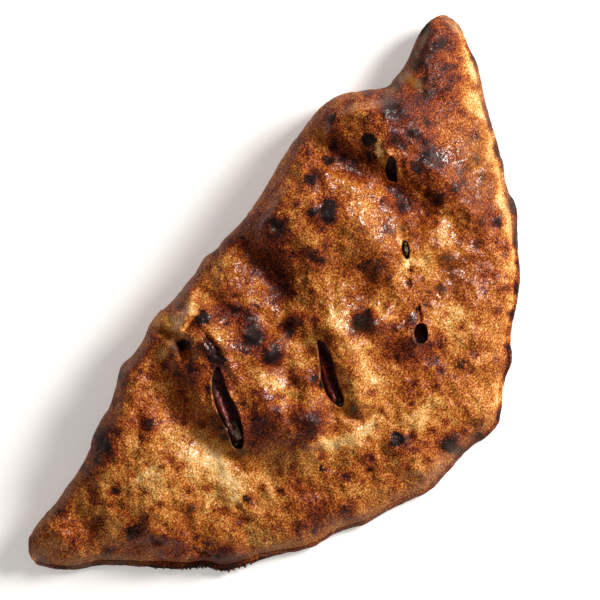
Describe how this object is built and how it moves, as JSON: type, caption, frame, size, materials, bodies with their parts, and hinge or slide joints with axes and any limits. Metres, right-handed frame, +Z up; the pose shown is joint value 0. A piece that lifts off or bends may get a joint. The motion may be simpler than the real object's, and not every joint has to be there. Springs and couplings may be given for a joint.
{
  "type": "calzone",
  "caption": "Half-moon folded dough pocket, browned and blistered on top, with a pressed curved rim and slits that show its tomato filling; lies flat on its underside.",
  "frame": {"origin": "centre of the bounding box in X and Y, at the surface that the calzone rests on", "axes": "+X from the blunt tip to the other tip along the length, +Y towards the folded side, +Z up"},
  "size_m": [0.2898, 0.1422, 0.0447],
  "materials": {
    "baked_dough": "satin",
    "tomato_filling": "glossy"
  },
  "bodies": {
    "root": {"crust": "baked_dough", "filling": "tomato_filling"}
  },
  "joints": []
}
